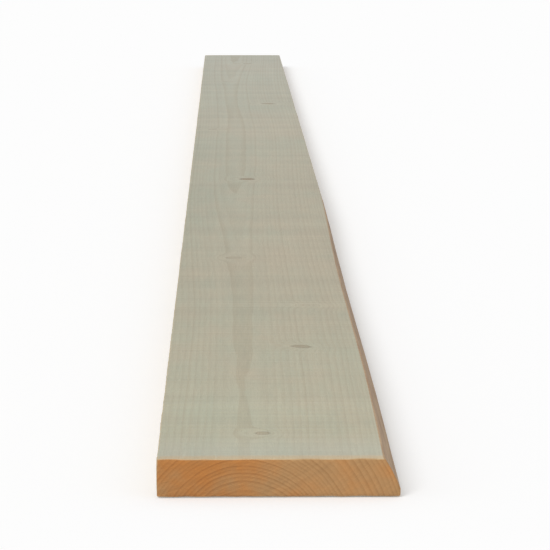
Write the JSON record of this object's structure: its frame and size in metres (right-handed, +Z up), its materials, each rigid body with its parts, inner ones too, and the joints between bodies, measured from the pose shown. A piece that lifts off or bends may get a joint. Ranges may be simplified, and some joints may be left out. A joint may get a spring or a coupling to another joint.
{
  "type": "rough sawn board",
  "caption": "Rough sawn softwood board, square-cut at both ends, with sawn faces and edges and a short run of wane on one edge.",
  "frame": {"origin": "middle of the underside, the wide face that the board lies on", "axes": "+Y along the board from its front end to its far end, +Z up through its thickness, +X across its width towards the edge with the wane"},
  "size_m": [0.15, 4, 0.025],
  "materials": {
    "sawn_softwood": "rough sawn, bare"
  },
  "bodies": {
    "root": {"board": "sawn_softwood"}
  },
  "joints": []
}
